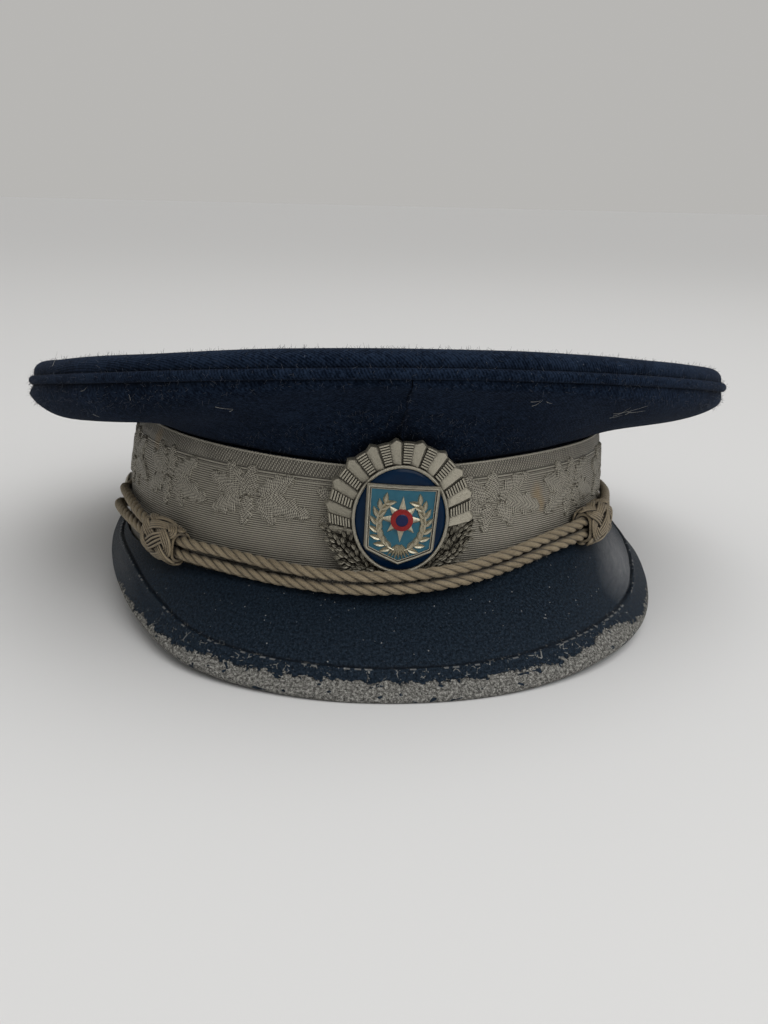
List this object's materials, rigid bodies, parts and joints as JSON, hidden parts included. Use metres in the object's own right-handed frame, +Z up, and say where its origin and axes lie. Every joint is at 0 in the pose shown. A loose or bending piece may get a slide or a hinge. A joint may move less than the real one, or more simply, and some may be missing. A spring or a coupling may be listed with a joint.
{
  "type": "peaked service cap",
  "caption": "Uniform cap with a wide cloth crown, a braided band, a coated peak, a doubled chin cord and an enamelled badge.",
  "frame": {"origin": "centre of the footprint of the resting cap, on the surface it rests on", "axes": "+X to the right of a viewer who faces the badge, +Y towards the back of the cap, +Z up from the surface it rests on"},
  "size_m": [0.2572, 0.2746, 0.0946],
  "materials": {
    "navy_cloth": "wool twill with a fine nap",
    "silver_braid": "woven metal thread, aged",
    "coated_peak": "grained coating on fibreboard, worn at the edge",
    "twisted_cord": "three-ply twist of dull metal thread",
    "cast_metal": "dull nickel plate",
    "blue_enamel": "glossy enamel",
    "sky_enamel": "glossy enamel"
  },
  "bodies": {
    "root": {"top_panel": "navy_cloth", "piping": "navy_cloth", "quarter_left": "navy_cloth", "quarter_right": "navy_cloth", "band": "navy_cloth", "braid": "silver_braid", "peak": "coated_peak", "chin_cord": "twisted_cord", "knot_left": "twisted_cord", "knot_right": "twisted_cord", "button_left": "cast_metal", "button_right": "cast_metal", "badge_wreath": "cast_metal", "badge_disc": "blue_enamel", "badge_shield": "sky_enamel", "badge_star": "cast_metal"}
  },
  "joints": []
}
